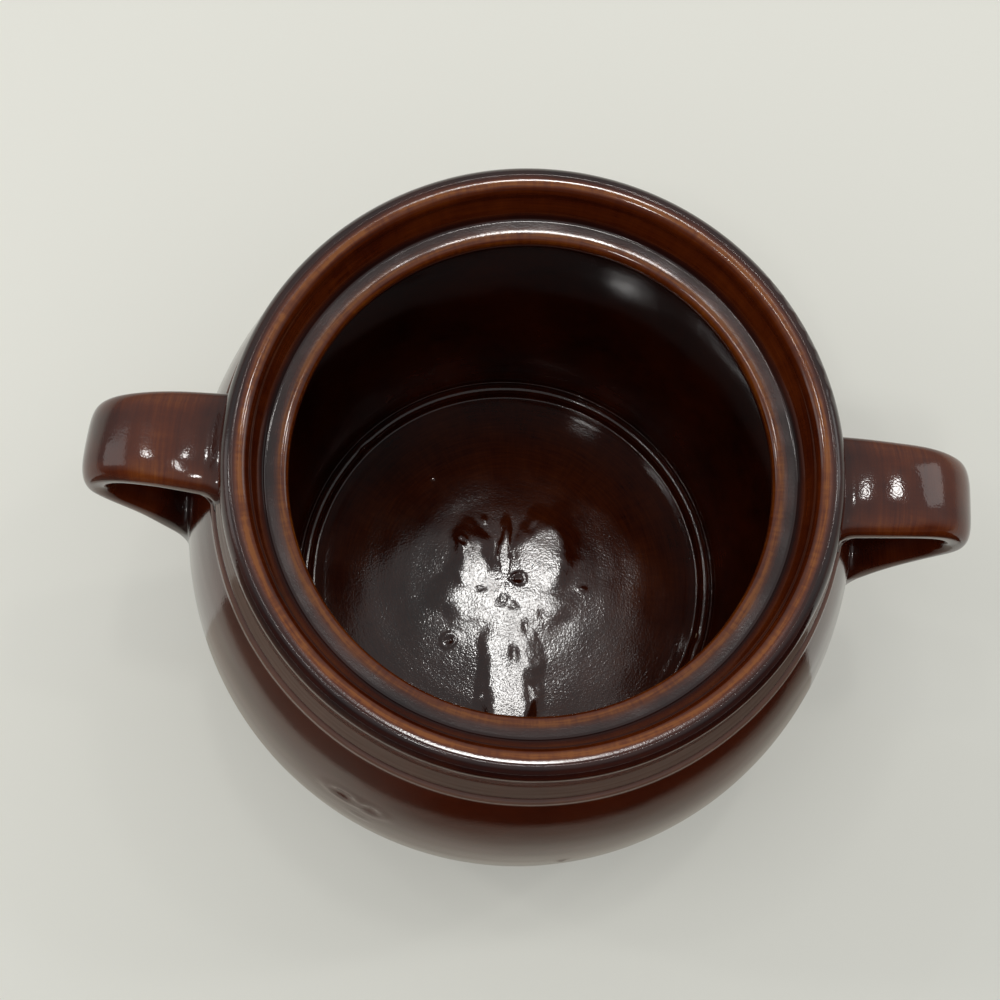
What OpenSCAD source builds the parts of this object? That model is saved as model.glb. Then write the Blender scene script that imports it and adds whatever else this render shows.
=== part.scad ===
// Stoneware bean pot: a bellied pot with a gallery for a lid, and two strap handles.
// Millimetres, +Z up. The origin is the centre of the circle that the foot stands on.
// Seen from the front (-Y), one handle is to the right (+X) and one to the left (-X).

/* [Body] */
// Height from the table to the crest of the lip
rim_z = 163; // [158:0.5:170]
// Radius of the belly at its widest, over the glaze
belly_r = 94; // [89.5:0.5:98.5]
// Height of the widest part of the belly
belly_z = 72; // [64:1:84]
// How far the belly's round reaches in from the widest part
round_run = 44; // [36:1:60]
// Thickness of the wall, over both coats of glaze
wall_t = 7; // [5:0.25:9]
// Thickness of each coat of glaze, and of the slip under the handles
glaze_t = 0.5; // [0.3:0.05:0.8]

/* [Foot and floor] */
// Radius of the foot ring
foot_r = 67; // [62.5:0.5:70.5]
// Width of the ring that the pot stands on
foot_ring_w = 9; // [6:0.5:14]
// Depth of the hollow inside the foot ring
foot_hollow = 2.5; // [1.5:0.25:3.5]
// Height of the foot ring's outside, up to the belly
foot_h = 3.2; // [2.5:0.1:4]
// Bevel on both corners of the foot ring
foot_bevel = 0.8; // [0.4:0.1:1.2]
// How far the belly stands out over the foot ring
foot_step = 1.6; // [1:0.1:3]
// Height of the bare band of clay, from the table up to the edge of the glaze
bare_h = 5; // [4.5:0.1:6.5]
// Height of the floor inside the pot, over the glaze
floor_z = 9; // [8:0.25:11]
// How far the round between floor and wall reaches, along the floor and up the wall
floor_round = 5.2; // [4:0.2:7]
// Radius of the bead of clay pressed round the floor's corner
bead_r = 1.7; // [1.2:0.1:2.2]

/* [Neck and lip] */
// Radius of the lid seat's wall
seat_r = 66; // [64:0.25:69]
// Width of the lip, from the lid seat's wall to its outside
lip_w = 10.2; // [9:0.2:12]
// Height of the lip's band, from its lower edge to its crest
lip_h = 13; // [11:0.25:15]
// How far the lip's lower edge stands out from the neck
lip_over = 1.2; // [0.8:0.1:1.8]
// Depth of the lid seat below the crest of the lip
seat_depth = 11.6; // [10:0.2:13]
// Height of the lid seat's straight wall
seat_wall_h = 4.6; // [4:0.2:5.4]
// Radius of the round between the lid seat's wall and its ledge
seat_fillet = 1.2; // [0.8:0.1:1.6]
// How far the lid seat opens out above its straight wall
seat_flare = 2.4; // [1.6:0.1:3]
// Width of the ledge that the lid rests on, from the seat's wall to the throat
ledge_w = 5.8; // [4.8:0.2:7.4]
// Thickness of the ledge at the throat
ledge_t = 5; // [4.6:0.2:6]
// How far the shoulder stands out past the lip where the turned step meets it
step_over = 3.4; // [3:0.1:4.4]
// Height of the turned step on the shoulder, below the crest of the lip
step_drop = 20.5; // [19:0.25:22]
// Depth of the line turned into the shoulder at the step
line_depth = 0.9; // [0.5:0.1:1.2]
// Height of that line
line_h = 1.8; // [1.2:0.1:2.2]

/* [Handles] */
// How far each handle stands out past the belly
handle_out = 21.5; // [17:0.5:27]
// Width of the strap
strap_w = 22; // [18:0.5:25]
// Thickness of the strap
strap_t = 8.5; // [7:0.25:10]
// How much the strap widens on each side where it joins the neck
upper_spread = 2.5; // [1.5:0.25:4]
// How much the strap widens on each side where it joins the belly
lower_spread = 4.5; // [3:0.25:6]
// How much the strap thickens on each side where it joins the pot
root_swell = 1.4; // [0.8:0.1:2]
// Height of the outermost part of the handle
reach_z = 128.5; // [125:0.5:132]
// Height of the middle of the handle's lower root
low_root_z = 96; // [92:0.5:100]
// How far each handle is turned towards the back, in degrees
handle_turn = 2.3; // [0:0.1:4]

/* [Hidden] */
$fn = 128;

glaze_colour = "#4a1f12";
rim_colour = "#8a4a20";
inside_colour = "#1d0b08";
clay_colour = "#c9a77c";
slip_colour = "#b8946a";

// Heights and radii that follow from the sizes above
round_r0 = belly_r - round_run;
lip_r = seat_r + lip_w;
throat_r = seat_r - ledge_w;
step_r = lip_r + step_over;
flare_r = seat_r + seat_flare;
reach = belly_r + handle_out;
step_z = rim_z - step_drop;
ledge_z = rim_z - seat_depth;
lip_low_z = rim_z - lip_h;
neck_r = lip_r - lip_over;
belly_foot_r = foot_r + foot_step;
seat_top_z = ledge_z + seat_fillet + seat_wall_h;
crest_share = 0.38;
crest_r = flare_r + (lip_r - flare_r) * crest_share;
collar_drop = 8;
under_z = step_z - collar_drop;

// The belly is two arcs of ellipses that meet at its widest part, one down to the foot, one up to the step
foot_angle = acos((belly_foot_r - round_r0) / round_run);
step_angle = acos((step_r - round_r0) / round_run);
base_rise = (belly_z - foot_h) / sin(foot_angle);
shoulder_rise = (step_z - belly_z) / sin(step_angle);
bare_angle = asin((belly_z - bare_h) / base_rise);
inner_run = round_run - wall_t;
under_angle = asin((under_z - belly_z) / (shoulder_rise - wall_t));
corner_angle = asin((belly_z - floor_z - floor_round) / (base_rise - wall_t));

// Points on an arc of an ellipse about centre c, with semi-axes s, from angle a to angle b in n steps
function arc(c, s, a, b, n) =
  [for (i = [0:n]) let (t = a + (b - a) * i / n) [c[0] + s[0] * cos(t), c[1] + s[1] * sin(t)]];

// Points on a cubic curve from p0 to p3, pulled towards p1 and p2, in n steps
function cubic(p0, p1, p2, p3, t) =
  pow(1 - t, 3) * p0 + 3 * pow(1 - t, 2) * t * p1 + 3 * (1 - t) * t * t * p2 + pow(t, 3) * p3;
function bend(p0, p1, p2, p3, n) = [for (i = [0:n]) cubic(p0, p1, p2, p3, i / n)];

// The list without its first point, for joining curves that share an end
function beyond(list) = [for (i = [1:len(list) - 1]) list[i]];
function stretch(list, a, b) = [for (i = [a:b]) list[i]];
function backwards(list) = [for (i = [len(list) - 1:-1:0]) list[i]];

// Directions, and the list moved to its left-hand side by d, as seen going along it
function unit(v) = v / norm(v);
function turned(v) = [-v[1], v[0]];
function side(list, i) =
  let (
    before = unit(list[max(i, 1)] - list[max(i, 1) - 1]),
    after = unit(list[min(i + 1, len(list) - 1)] - list[min(i, len(list) - 2)]),
    middle = unit(before + after)
  ) turned(middle) / (middle * before);
function inset(list, d) =
  [for (i = [0:len(list) - 1])
    let (p = list[i] + d * side(list, i))
    [i == len(list) - 1 ? list[i][0] : p[0], p[1]]];

// Outside of the glaze, from its lower edge up to the crest of the lip
belly_centre = [round_r0, belly_z];
line_floor = [step_r - line_depth, step_z + line_h * 0.45];
cove = [step_r - line_depth / 2, step_z + line_h];
cove_angle = 60;
cove_s = [(cove[0] - neck_r) / cos(cove_angle), (lip_low_z - cove[1]) / sin(cove_angle)];
cove_centre = [neck_r + cove_s[0], lip_low_z];
lip_roll = [lip_over + 0.3, 1.6];
lip_roll_angle = 70;
crest_s = [lip_r - crest_r, 5.4];
crest_angle = 8;
outer = concat(
  arc(belly_centre, [round_run, base_rise], -bare_angle, 0, 14),
  beyond(arc(belly_centre, [round_run, shoulder_rise], 0, step_angle, 12)),
  [line_floor, cove],
  beyond(arc(cove_centre, cove_s, cove_angle - 180, -180, 6)),
  beyond(arc([lip_r - lip_roll[0], lip_low_z + lip_roll[1]], lip_roll, -lip_roll_angle, 0, 5)),
  arc([crest_r, rim_z - crest_s[1]], crest_s, crest_angle, 90, 9)
);

// Inside of the glaze, from the crest of the lip down the lid seat, the throat and the wall to the floor
crest_in_s = [crest_r - flare_r, 3.2];
crest_in_angle = 172;
flare_top = [flare_r, rim_z - crest_in_s[1] - 0.5];
flare_pull = [flare_r - 0.3, seat_top_z + 1.8];
edge_s = [2.4, 2];
throat_pull = 3.3;
under_pull = 5;
wall_top = arc(belly_centre, [inner_run, shoulder_rise - wall_t], under_angle, 0, 12);
wall_low = arc(belly_centre, [inner_run, base_rise - wall_t], 0, -corner_angle, 12);
wall_end = wall_low[12];
wall_dir = unit(wall_low[12] - wall_low[11]);
under_dir = unit(wall_top[1] - wall_top[0]);
throat_low = [throat_r, ledge_z - ledge_t];
floor_edge = [wall_end[0] - floor_round * 1.5, floor_z];
corner_pull = wall_end + floor_round * 0.6 * wall_dir;
inner = concat(
  beyond(arc([crest_r, rim_z - crest_in_s[1]], crest_in_s, 90, crest_in_angle, 6)),
  beyond(bend(flare_top, flare_pull, [seat_r, seat_top_z + 1.2], [seat_r, seat_top_z], 4)),
  arc([seat_r - seat_fillet, ledge_z + seat_fillet], [seat_fillet, seat_fillet], 0, -90, 4),
  arc([throat_r + edge_s[0], ledge_z - edge_s[1]], edge_s, 90, 180, 6),
  bend(throat_low, throat_low - [0, throat_pull], wall_top[0] - under_pull * under_dir, wall_top[0], 9),
  beyond(wall_top),
  beyond(wall_low),
  beyond(bend(wall_end, corner_pull, floor_edge + [floor_round * 0.8, 0], floor_edge, 6)),
  [[0, floor_z]]
);
crest_i = len(outer) - 1;
skin = concat(outer, inner);
under_skin = inset(skin, glaze_t);

// Foot ring and underside, from the axis out to the edge of the glaze
hollow_r = foot_r - foot_ring_w;
foot = [
  [0, foot_hollow],
  [hollow_r - foot_bevel, foot_hollow],
  [hollow_r, foot_hollow - foot_bevel],
  [hollow_r, foot_bevel],
  [hollow_r + foot_bevel, 0],
  [foot_r - foot_bevel, 0],
  [foot_r, foot_bevel],
  [foot_r, foot_h * 0.7],
  [belly_foot_r - glaze_t, foot_h]
];

// Joints between the pieces of clay
slab_z = floor_z - glaze_t;
bead_centre = [wall_end[0] - floor_round * 0.55, floor_z + floor_round * 0.18];

// Middle of the strap, from inside the neck out to the reach and back into the belly
out_x = reach - strap_t / 2;
low_wall_r = round_r0 + round_run * cos(asin((low_root_z - belly_z) / shoulder_rise));
strap_start = [neck_r - 5, step_z + 1];
strap_reach = [out_x, reach_z];
strap_end = [low_wall_r - 7.5, low_root_z - 11];
crown_pull = [out_x - 13, step_z + 7];
crown_drop = 2.5;
reach_drop = 9.5;
elbow_pull = [low_wall_r + 6, low_root_z + 18];
strap_steps = 13;
strap_path = concat(
  bend(strap_start, crown_pull, [out_x, step_z - crown_drop], strap_reach, strap_steps),
  beyond(bend(strap_reach, strap_reach - [0, reach_drop], elbow_pull, strap_end, strap_steps))
);
strap_sides = 20;
strap_square = 0.62;
root_share = 0.42;

// How strongly the strap spreads at ring i, from 1 at either end to 0 where it is plain
function root(i) =
  let (n = len(strap_path) - 1, u = min(i, n - i) / (n * root_share)) pow(max(0, 1 - u), 2);
function spread(i) = i < (len(strap_path) - 1) / 2 ? upper_spread : lower_spread;

// Ring i of the strap: a soft rectangle square to the path
function strap_ring(i) =
  let (
    n = len(strap_path) - 1,
    along = unit(strap_path[min(i + 1, n)] - strap_path[max(i - 1, 0)]),
    half_w = strap_w / 2 + spread(i) * root(i),
    half_t = strap_t / 2 + root_swell * root(i)
  )
  [for (k = [0:strap_sides - 1])
    let (
      a = 360 * (k + 0.5) / strap_sides,
      y = half_w * sign(cos(a)) * pow(abs(cos(a)), strap_square),
      d = half_t * sign(sin(a)) * pow(abs(sin(a)), strap_square)
    )
    [strap_path[i][0] - along[1] * d, y, strap_path[i][1] + along[0] * d]];

module strap() {
  rings = [for (i = [0:len(strap_path) - 1]) strap_ring(i)];
  s = strap_sides;
  last = (len(rings) - 1) * s;
  walls = [for (i = [0:len(rings) - 2], k = [0:s - 1])
    let (a = i * s + k, b = i * s + (k + 1) % s)
    each [[a, b + s, b], [a, a + s, b + s]]];
  ends = [[for (k = [0:s - 1]) k], [for (k = [s - 1:-1:0]) last + k]];
  polyhedron([for (ring = rings, p = ring) p], concat(walls, ends));
}

// Everything inside the outer face of the glaze
module pot_form() {
  rotate_extrude() polygon(concat([[0, bare_h]], outer, [[0, rim_z]]));
}

module clay_section(low, high) {
  intersection() {
    polygon(concat(foot, under_skin));
    translate([0, low]) square([belly_r + reach, high - low]);
  }
}

module bead_section(r) {
  translate(bead_centre) circle(r, $fn = 48);
}

module coat(first, last) {
  polygon(concat(stretch(skin, first, last), backwards(stretch(under_skin, first, last))));
}

// A flat-sided oval bar of width w and height h that runs out through the wall along +X
bar_start = neck_r - 6;
bar_l = reach - bar_start;
module root_bar(z, w, h) {
  rotate(handle_turn) translate([bar_start, 0, z]) rotate([90, 0, 90]) linear_extrude(bar_l) {
    square([w - h, h], center = true);
    for (end = [-1, 1]) translate([end * (w - h) / 2, 0]) circle(h / 2);
  }
}

// Where the strap's roots cover the wall; the lower one meets it at a slant, so its patch is taller
upper_root_z = step_z + 1.4;
upper_root_h = strap_t;
lower_root_h = strap_t + 4;
module upper_bar() {
  root_bar(upper_root_z, strap_w + upper_spread, upper_root_h);
}
module lower_bar() {
  root_bar(low_root_z, strap_w + lower_spread, lower_root_h);
}

module outside_coat() {
  rotate_extrude() coat(0, crest_i);
}

module base_slab() {
  color(clay_colour) rotate_extrude() clay_section(0, slab_z);
}
module floor_bead() {
  color(clay_colour) rotate_extrude() difference() {
    bead_section(bead_r - glaze_t);
    clay_section(0, step_z);
  }
}
module belly_wall() {
  color(clay_colour) rotate_extrude() clay_section(slab_z, step_z);
}
module neck_collar() {
  color(clay_colour) rotate_extrude() clay_section(step_z, rim_z);
}
module handle_right() {
  color(rim_colour) difference() {
    rotate(handle_turn) strap();
    pot_form();
  }
}
module handle_left() {
  mirror([1, 0, 0]) handle_right();
}
module slip_right_upper() {
  color(slip_colour) intersection() {
    outside_coat();
    upper_bar();
  }
}
module slip_right_lower() {
  color(slip_colour) intersection() {
    outside_coat();
    lower_bar();
  }
}
module slip_left_upper() {
  mirror([1, 0, 0]) slip_right_upper();
}
module slip_left_lower() {
  mirror([1, 0, 0]) slip_right_lower();
}
module inside_glaze() {
  color(inside_colour) rotate_extrude() difference() {
    union() {
      coat(crest_i, len(skin) - 1);
      bead_section(bead_r);
    }
    bead_section(bead_r - glaze_t);
    clay_section(0, step_z);
  }
}
module outside_glaze() {
  color(glaze_colour) difference() {
    outside_coat();
    for (side = [0, 1]) mirror([side, 0, 0]) {
      upper_bar();
      lower_bar();
    }
  }
}

base_slab();
floor_bead();
belly_wall();
neck_collar();
handle_left();
handle_right();
slip_left_upper();
slip_left_lower();
slip_right_upper();
slip_right_lower();
inside_glaze();
outside_glaze();
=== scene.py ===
import math

import bmesh
import bpy
import numpy
from mathutils import Matrix, Vector, noise


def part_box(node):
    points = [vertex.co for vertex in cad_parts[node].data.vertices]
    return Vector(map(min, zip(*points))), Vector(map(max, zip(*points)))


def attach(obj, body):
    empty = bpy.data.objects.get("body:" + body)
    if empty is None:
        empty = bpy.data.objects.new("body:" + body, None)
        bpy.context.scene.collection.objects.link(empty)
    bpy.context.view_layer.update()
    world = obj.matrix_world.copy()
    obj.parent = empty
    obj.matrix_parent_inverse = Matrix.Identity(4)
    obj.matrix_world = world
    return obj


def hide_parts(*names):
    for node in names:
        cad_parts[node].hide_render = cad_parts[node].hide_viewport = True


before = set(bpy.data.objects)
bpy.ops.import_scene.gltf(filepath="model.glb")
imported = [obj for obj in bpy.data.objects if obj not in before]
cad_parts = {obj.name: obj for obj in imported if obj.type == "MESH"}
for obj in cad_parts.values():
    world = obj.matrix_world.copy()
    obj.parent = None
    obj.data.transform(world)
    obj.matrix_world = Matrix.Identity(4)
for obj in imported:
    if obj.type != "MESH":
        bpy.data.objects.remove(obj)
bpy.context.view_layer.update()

mm = 0.001
noise.seed_set(5)  # without it noise_vector differs from run to run

# the pot's turned skin in millimetres, the same form as the frame's; a pair is a step out and a step up

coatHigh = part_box("outside_glaze")[1]
marksRoom = (0.12, 0.08)  # left inside the frame's box, round the belly and over the rim
potShape = {
    "rimHeight": round(coatHigh[2] / mm - marksRoom[1], 2),
    "bellyRadius": round(coatHigh[1] / mm - marksRoom[0], 2),
    "bellyHeight": 72.0,  # of its widest circle
    "bellyRun": 44.0,  # how far its curve reaches out from its centre
    "bellySteps": 60,
    "wall": 7.0,  # with both coats
    "coat": 0.5,
    "bareHeight": 5.0,  # the outer glaze ends here
    "footRadius": 67.0,
    "footRing": 9.0,
    "footHollow": 2.5,
    "footHeight": 3.2,
    "footBevel": 0.8,
    "footStep": 1.6,
    "floorHeight": 9.0,
    "floorRound": 5.2,
    "floorSteps": 2,  # to each millimetre of its radius
    "floorRing": 61.8,
    "floorRingHeight": 0.05,
    "floorRingSpread": 1.0,
    "beadRadius": 2.2,
    "beadIn": 0.55,  # the bead's middle, in shares of the floor's round
    "beadUp": 0.18,
    "beadFoot": 0.9,
    "seatRadius": 66.0,
    "seatDepth": 11.6,
    "seatFillet": 0.5,
    "seatFlare": 2.4,
    "flareInset": 0.15,
    "flareDrop": 4.0,
    "ledgeWidth": 5.8,
    "ledgeThick": 5.0,
    "ledgeLean": 6.1,  # degrees
    "ledgeRound": 2.5,
    "ledgeDrop": 2.3,
    "ledgePull": 1.5,
    "ledgeDip": 0.05,
    "lipWidth": 10.2,
    "lipHeight": 13.0,
    "lipOver": 1.2,
    "lipSlant": 0.5,
    "lipRoll": (1.3, 1.6),
    "crestShare": 0.48,  # where the lip is highest, from the seat to its outside
    "crestInset": 0.15,
    "crestRise": 5.4,
    "crestFlat": 0.7,
    "crestFall": 0.13,
    "coveOut": 0.4,
    "stepOver": 3.4,
    "stepDrop": 20.5,
    "stepEdge": (0.35, 0.3),
    "shoulderRound": 2.2,
    "shoulderPull": 0.62,
    "shoulderSteps": 90,
    "lineDepth": 0.9,
    "lineHeight": 1.8,
    "lineLowest": 0.3,  # shares of the turned line's height and depth
    "lineOut": 0.8,
    "collarDrop": 8.0,
    "collarPull": 5.0,
}

# the bends between points of the skin: the pull on the start, the pull on the end, and the steps;
# a pull that depends on the sizes is worked out where it is used
potCurves = {
    "shoulder": (None, (0.45, -0.1), 12),
    "lineIn": ((-0.5, 0.1), (0.4, -0.3), 6),
    "lineOut": ((-0.3, 0.3), (0.5, -0.1), 6),
    "cove": ((-0.7, 1.3), (0.9, -1.6), 24),
    "crest": (None, (0.4, 3.3), 30),
    "flare": ((-0.95, -2.6), (0.5, 3.0), 16),
    "ledge": (None, (0.0, 1.55), 16),
    "collar": ((0.0, -3.3), None, 24),
    "toBead": ((-0.7, -1.9), (0.3, 1.1), 8),
    "toFloor": ((-0.3, -0.8), (0.4, 0.0), 8),
}

# the arcs: where each starts and ends, in degrees, and the steps
potArcs = {
    "lip": (-70, 4, 16),
    "crest": (5, 90, 40),
    "fillet": (0, -90, 10),
    "bead": (28, 150, 16),
    "beadClay": (0, 345, 23),
}


def moved(point, shift):
    return (point[0] + shift[0], point[1] + shift[1])


def beyond(p, q, distance):
    # the point this far past q, on the line from p
    share = distance / math.dist(p, q)
    return tuple(b + (b - a) * share for a, b in zip(p, q))


def arcPoints(centre, radii, start, end, count):
    turns = [math.radians(start + (end - start) * i / count) for i in range(count + 1)]
    return [(centre[0] + radii[0] * math.cos(a), centre[1] + radii[1] * math.sin(a)) for a in turns]


def cubicPoint(a, b, c, d, t):
    s = 1 - t
    weights = (s * s * s, 3 * s * s * t, 3 * s * t * t, t * t * t)
    return tuple(sum(w * p[i] for w, p in zip(weights, (a, b, c, d))) for i in range(len(a)))


def skinCurve(name, start, end, ahead=None, before=None):
    # ahead and before take the place of the pulls that potCurves leaves open
    startPull, endPull, count = potCurves[name]
    ahead = ahead or moved(start, startPull)
    before = before or moved(end, endPull)
    return [cubicPoint(start, ahead, before, end, i / count) for i in range(count + 1)]


def stepLengths(points):
    return [math.dist(p, q) for p, q in zip(points, points[1:])]


def derivedSizes(s):
    d = dict(s)
    d["axis"] = 0.0
    d["roundStart"] = s["bellyRadius"] - s["bellyRun"]
    d["lipRadius"] = s["seatRadius"] + s["lipWidth"]
    d["throat"] = s["seatRadius"] - s["ledgeWidth"]
    d["stepRadius"] = d["lipRadius"] + s["stepOver"]
    d["lineRadius"] = d["stepRadius"] - s["lineDepth"]
    d["flareRadius"] = s["seatRadius"] + s["seatFlare"]
    d["stepHeight"] = s["rimHeight"] - s["stepDrop"]
    d["ledgeHeight"] = s["rimHeight"] - s["seatDepth"]
    d["lipLow"] = s["rimHeight"] - s["lipHeight"]
    d["neck"] = d["lipRadius"] - s["lipOver"]
    d["bellyFoot"] = s["footRadius"] + s["footStep"]
    d["crest"] = d["flareRadius"] + (d["lipRadius"] - d["flareRadius"]) * s["crestShare"]
    d["underHeight"] = d["stepHeight"] - s["collarDrop"]
    footAngle = math.acos((d["bellyFoot"] - d["roundStart"]) / s["bellyRun"])
    d["stepAngle"] = math.acos((d["stepRadius"] - d["roundStart"]) / s["bellyRun"])
    d["baseRise"] = (s["bellyHeight"] - s["footHeight"]) / math.sin(footAngle)
    d["shoulderRise"] = (d["stepHeight"] - s["bellyHeight"]) / math.sin(d["stepAngle"])
    return d


pot = derivedSizes(potShape)
bellyCentre = (pot["roundStart"], pot["bellyHeight"])


def outsideLine():
    # up the belly, over the shoulder's edge and its turned line, up the cove and over the lip to the crest
    s = pot
    bare = math.degrees(math.asin((s["bellyHeight"] - s["bareHeight"]) / s["baseRise"]))
    stepTurn = math.degrees(s["stepAngle"])
    lower = arcPoints(bellyCentre, (s["bellyRun"], s["baseRise"]), -bare, 0, s["bellySteps"])
    upper = arcPoints(bellyCentre, (s["bellyRun"], s["shoulderRise"]), 0, stepTurn, s["shoulderSteps"])
    upper = [p for p in upper if p[1] < s["stepHeight"] - s["shoulderRound"]]
    edge = moved((s["stepRadius"], s["stepHeight"]), s["stepEdge"])
    ahead = beyond(upper[-2], upper[-1], s["shoulderRound"] * s["shoulderPull"])
    shoulder = skinCurve("shoulder", upper[-1], edge, ahead)
    lineFloor = (s["lineRadius"], s["stepHeight"] + s["lineHeight"] * s["lineLowest"])
    coveStart = (s["stepRadius"] - s["lineDepth"] * s["lineOut"], s["stepHeight"] + s["lineHeight"])
    groove = skinCurve("lineIn", edge, lineFloor) + skinCurve("lineOut", lineFloor, coveStart)[1:]
    cove = skinCurve("cove", coveStart, (s["neck"] + s["coveOut"], s["lipLow"]))
    roll = s["lipRoll"]
    rollCentre = (s["lipRadius"] + s["lipSlant"] - roll[0], s["lipLow"] + roll[1])
    crestRadii = (s["lipRadius"] - s["crestInset"] - s["crest"], s["crestRise"])
    lowerLip = arcPoints(rollCentre, roll, *potArcs["lip"])
    crest = arcPoints((s["crest"], s["rimHeight"] - s["crestRise"]), crestRadii, *potArcs["crest"])
    return lower + upper[1:] + shoulder[1:] + groove[1:] + cove[1:] + lowerLip + crest


def insideLine():
    # from the crest down the flared seat, over the ledge, and down the wall to the middle of the floor
    s = pot
    top, level, throat = s["rimHeight"], s["ledgeHeight"], s["throat"]
    flareTop = (s["flareRadius"] - s["flareInset"], top - s["flareDrop"])
    over = (s["crest"] - (s["crest"] - s["flareRadius"]) * s["crestFlat"], top - s["crestFall"])
    crest = skinCurve("crest", (s["crest"], top), flareTop, over)
    seatLow = (s["seatRadius"], level + s["seatFillet"])
    flare = skinCurve("flare", flareTop, seatLow)
    filletCentre = (s["seatRadius"] - s["seatFillet"], seatLow[1])
    fillet = arcPoints(filletCentre, (s["seatFillet"],) * 2, *potArcs["fillet"])
    # the ledge leans in a little, then rounds over into the throat
    lean = math.tan(math.radians(s["ledgeLean"]))
    leanEnd = (throat + s["ledgeRound"], level - lean * (filletCentre[0] - throat - s["ledgeRound"]))
    ahead = (leanEnd[0] - s["ledgePull"], leanEnd[1] - s["ledgePull"] * lean - s["ledgeDip"])
    ledge = skinCurve("ledge", leanEnd, (throat, level - s["ledgeDrop"]), ahead)
    return crest + flare[1:] + fillet + ledge + insideWall()


def insideWall():
    s = pot
    run, upRise, lowRise = (s[key] - s["wall"] for key in ("bellyRun", "shoulderRise", "baseRise"))
    under = math.degrees(math.asin((s["underHeight"] - s["bellyHeight"]) / upRise))
    corner = math.degrees(math.asin((s["bellyHeight"] - s["floorHeight"] - s["floorRound"]) / lowRise))
    upper = arcPoints(bellyCentre, (run, upRise), under, 0, s["bellySteps"])
    lower = arcPoints(bellyCentre, (run, lowRise), 0, -corner, s["bellySteps"])
    throatLow = (s["throat"], s["ledgeHeight"] - s["ledgeThick"])
    collar = skinCurve("collar", throatLow, upper[0], before=beyond(upper[1], upper[0], s["collarPull"]))
    return collar + upper[1:] + lower[1:] + cornerLine(lower[-1])


def beadCentre(wallEnd):
    s = pot
    return (wallEnd[0] - s["floorRound"] * s["beadIn"], s["floorHeight"] + s["floorRound"] * s["beadUp"])


def floorRise(radius):
    s = pot
    return s["floorRingHeight"] * math.exp(-(((radius - s["floorRing"]) / s["floorRingSpread"]) ** 2) / 2)


def cornerLine(wallEnd):
    # a bead of clay is pressed round the floor's corner: wall, bead, then the floor with its low ring
    s = pot
    centre = beadCentre(wallEnd)
    bead = arcPoints(centre, (s["beadRadius"],) * 2, *potArcs["bead"])
    foot = (bead[-1][0] - s["beadFoot"], s["floorHeight"])
    toBead = skinCurve("toBead", wallEnd, bead[0])
    toFloor = skinCurve("toFloor", bead[-1], foot)
    count = round(foot[0] * s["floorSteps"])
    flat = [(foot[0] * (1 - i / count), s["floorHeight"]) for i in range(1, count + 1)]
    line = toBead[1:] + bead[1:] + toFloor[1:] + flat
    return [(r, z + floorRise(r)) if r < centre[0] else (r, z) for r, z in line]


def insetLine(points, depth):
    # the line moved inwards, to its left as it runs from foot to crest to floor
    out = []
    for i, here in enumerate(points):
        before, after = points[max(i - 1, 0)], points[min(i + 1, len(points) - 1)]
        run = math.dist(before, after) or 1
        radius = here[0] - (after[1] - before[1]) / run * depth
        out.append((max(radius, 0.0), here[1] + (after[0] - before[0]) / run * depth))
    return out


# how far apart an outline's points are: lowest and highest height, smallest radius, and the gap there

openLow, openHigh, anyRadius = -math.inf, math.inf, -1.0
gapZones = {
    "outside": (
        (pot["stepHeight"] - 3, openHigh, anyRadius, 0.6),
        (openLow, openHigh, anyRadius, 2.0),
    ),
    "inside": (
        (pot["ledgeHeight"] - 3, pot["ledgeHeight"] + 1, anyRadius, 0.45),
        (pot["ledgeHeight"] - 3, openHigh, anyRadius, 0.65),
        (openLow, pot["floorHeight"] + 7, 60, 0.5),
        (openLow, pot["floorHeight"] + 1, anyRadius, 1.0),
        (openLow, openHigh, anyRadius, 3.2),
    ),
    "back": (
        (openLow, pot["floorHeight"] + 8, 58, 0.8),
        (pot["stepHeight"] - 4, openHigh, anyRadius, 0.9),
        (openLow, openHigh, anyRadius, 8.0),
    ),
    "clay": (
        (openLow, pot["floorHeight"] + 8, anyRadius, 0.6),
        (pot["stepHeight"] - 4, openHigh, anyRadius, 0.8),
        (openLow, openHigh, anyRadius, 2.5),
    ),
    "foot": ((openLow, openHigh, anyRadius, 0.8),),
}


def gapAt(zones, point):
    # the first zone that holds the point counts
    radius, height = point
    return next(gap for start, end, least, gap in zones if start < height < end and radius > least)


def evenLine(points, zones):
    # points along the same line, as far apart as the zones say
    lengths = stepLengths(points)
    total = sum(lengths)
    out, walked, here, left = [points[0]], 0.0, 0, 0.0
    while True:
        walked += gapAt(zones, out[-1])
        if walked > total - gapAt(zones, points[-1]) * 0.5:
            break
        while left + lengths[here] < walked:
            left += lengths[here]
            here += 1
        t = (walked - left) / lengths[here]
        out.append(tuple(p + (q - p) * t for p, q in zip(points[here], points[here + 1])))
    return out + [points[-1]]


# where the glaze has run thin, where it has pooled and where a grey reflection of pale surroundings is
# painted in:
# a radius and a height of the pot, the shift from them, the spread and the strength

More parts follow.
